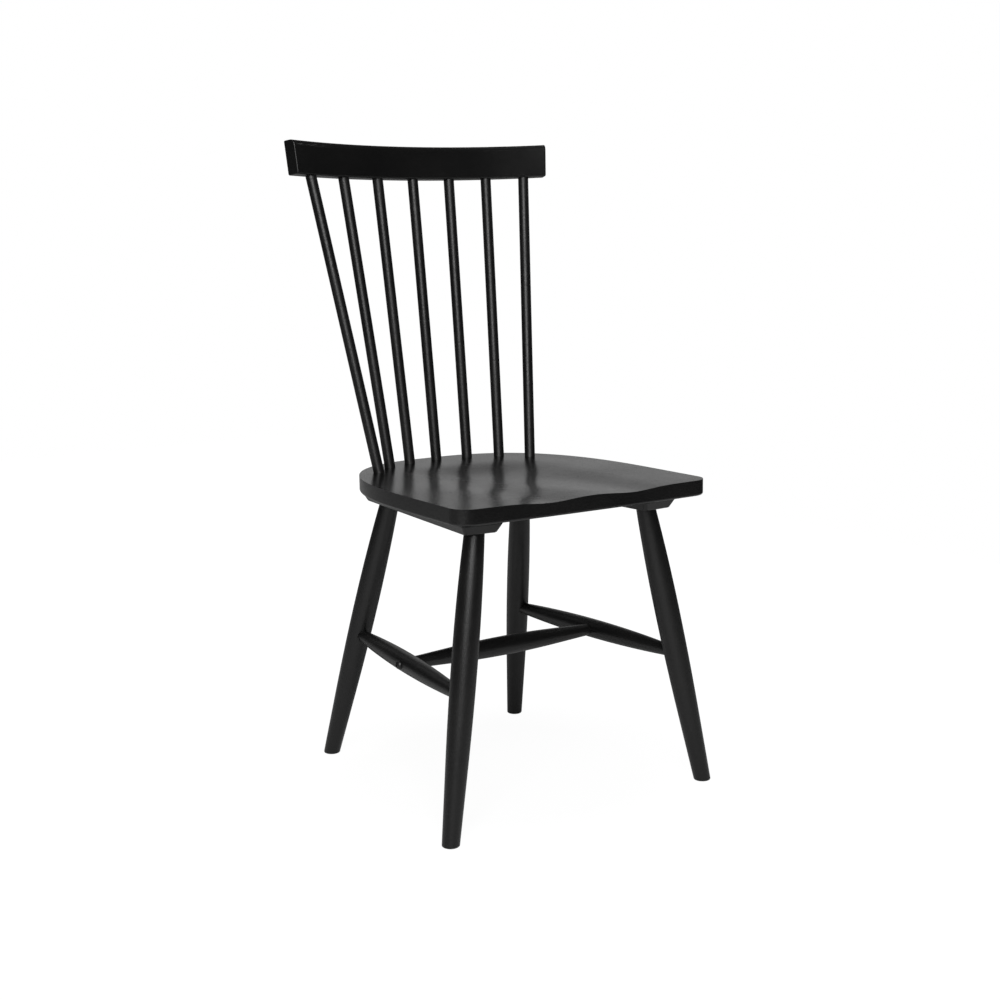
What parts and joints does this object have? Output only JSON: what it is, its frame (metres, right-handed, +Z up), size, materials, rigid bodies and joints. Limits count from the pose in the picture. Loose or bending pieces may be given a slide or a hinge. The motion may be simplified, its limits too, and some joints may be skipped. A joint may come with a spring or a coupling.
{
  "type": "windsor chair",
  "caption": "Black wooden dining chair with a saddled seat, splayed turned legs, an H stretcher, slim back spindles and a bent crest rail.",
  "frame": {"origin": "on the floor, under the middle of the whole chair", "axes": "+Z up, the sitter faces -Y, +X to the right as seen from the front"},
  "size_m": [0.4471, 0.4632, 0.907],
  "materials": {
    "seat_wood": "satin black paint",
    "rail_wood": "satin black paint",
    "spindle_wood": "satin black paint",
    "leg_wood": "satin black paint",
    "side_stretcher_wood": "satin black paint",
    "cross_stretcher_wood": "satin black paint",
    "cleat_wood": "satin black paint",
    "bolt_steel": "satin black",
    "sleeve_brass": "plain",
    "screw_steel": "zinc plated"
  },
  "bodies": {
    "root": {"seat": "seat_wood", "crest_rail": "rail_wood", "spindle_1": "spindle_wood", "spindle_2": "spindle_wood", "spindle_3": "spindle_wood", "spindle_4": "spindle_wood", "spindle_5": "spindle_wood", "spindle_6": "spindle_wood", "spindle_7": "spindle_wood", "leg_front_left": "leg_wood", "leg_front_right": "leg_wood", "leg_rear_left": "leg_wood", "leg_rear_right": "leg_wood", "side_stretcher_left": "side_stretcher_wood", "side_stretcher_right": "side_stretcher_wood", "cross_stretcher": "cross_stretcher_wood", "cleat_left": "cleat_wood", "cleat_right": "cleat_wood", "stretcher_bolts": "bolt_steel", "threaded_sleeves": "sleeve_brass", "cleat_screws": "screw_steel"}
  },
  "joints": []
}
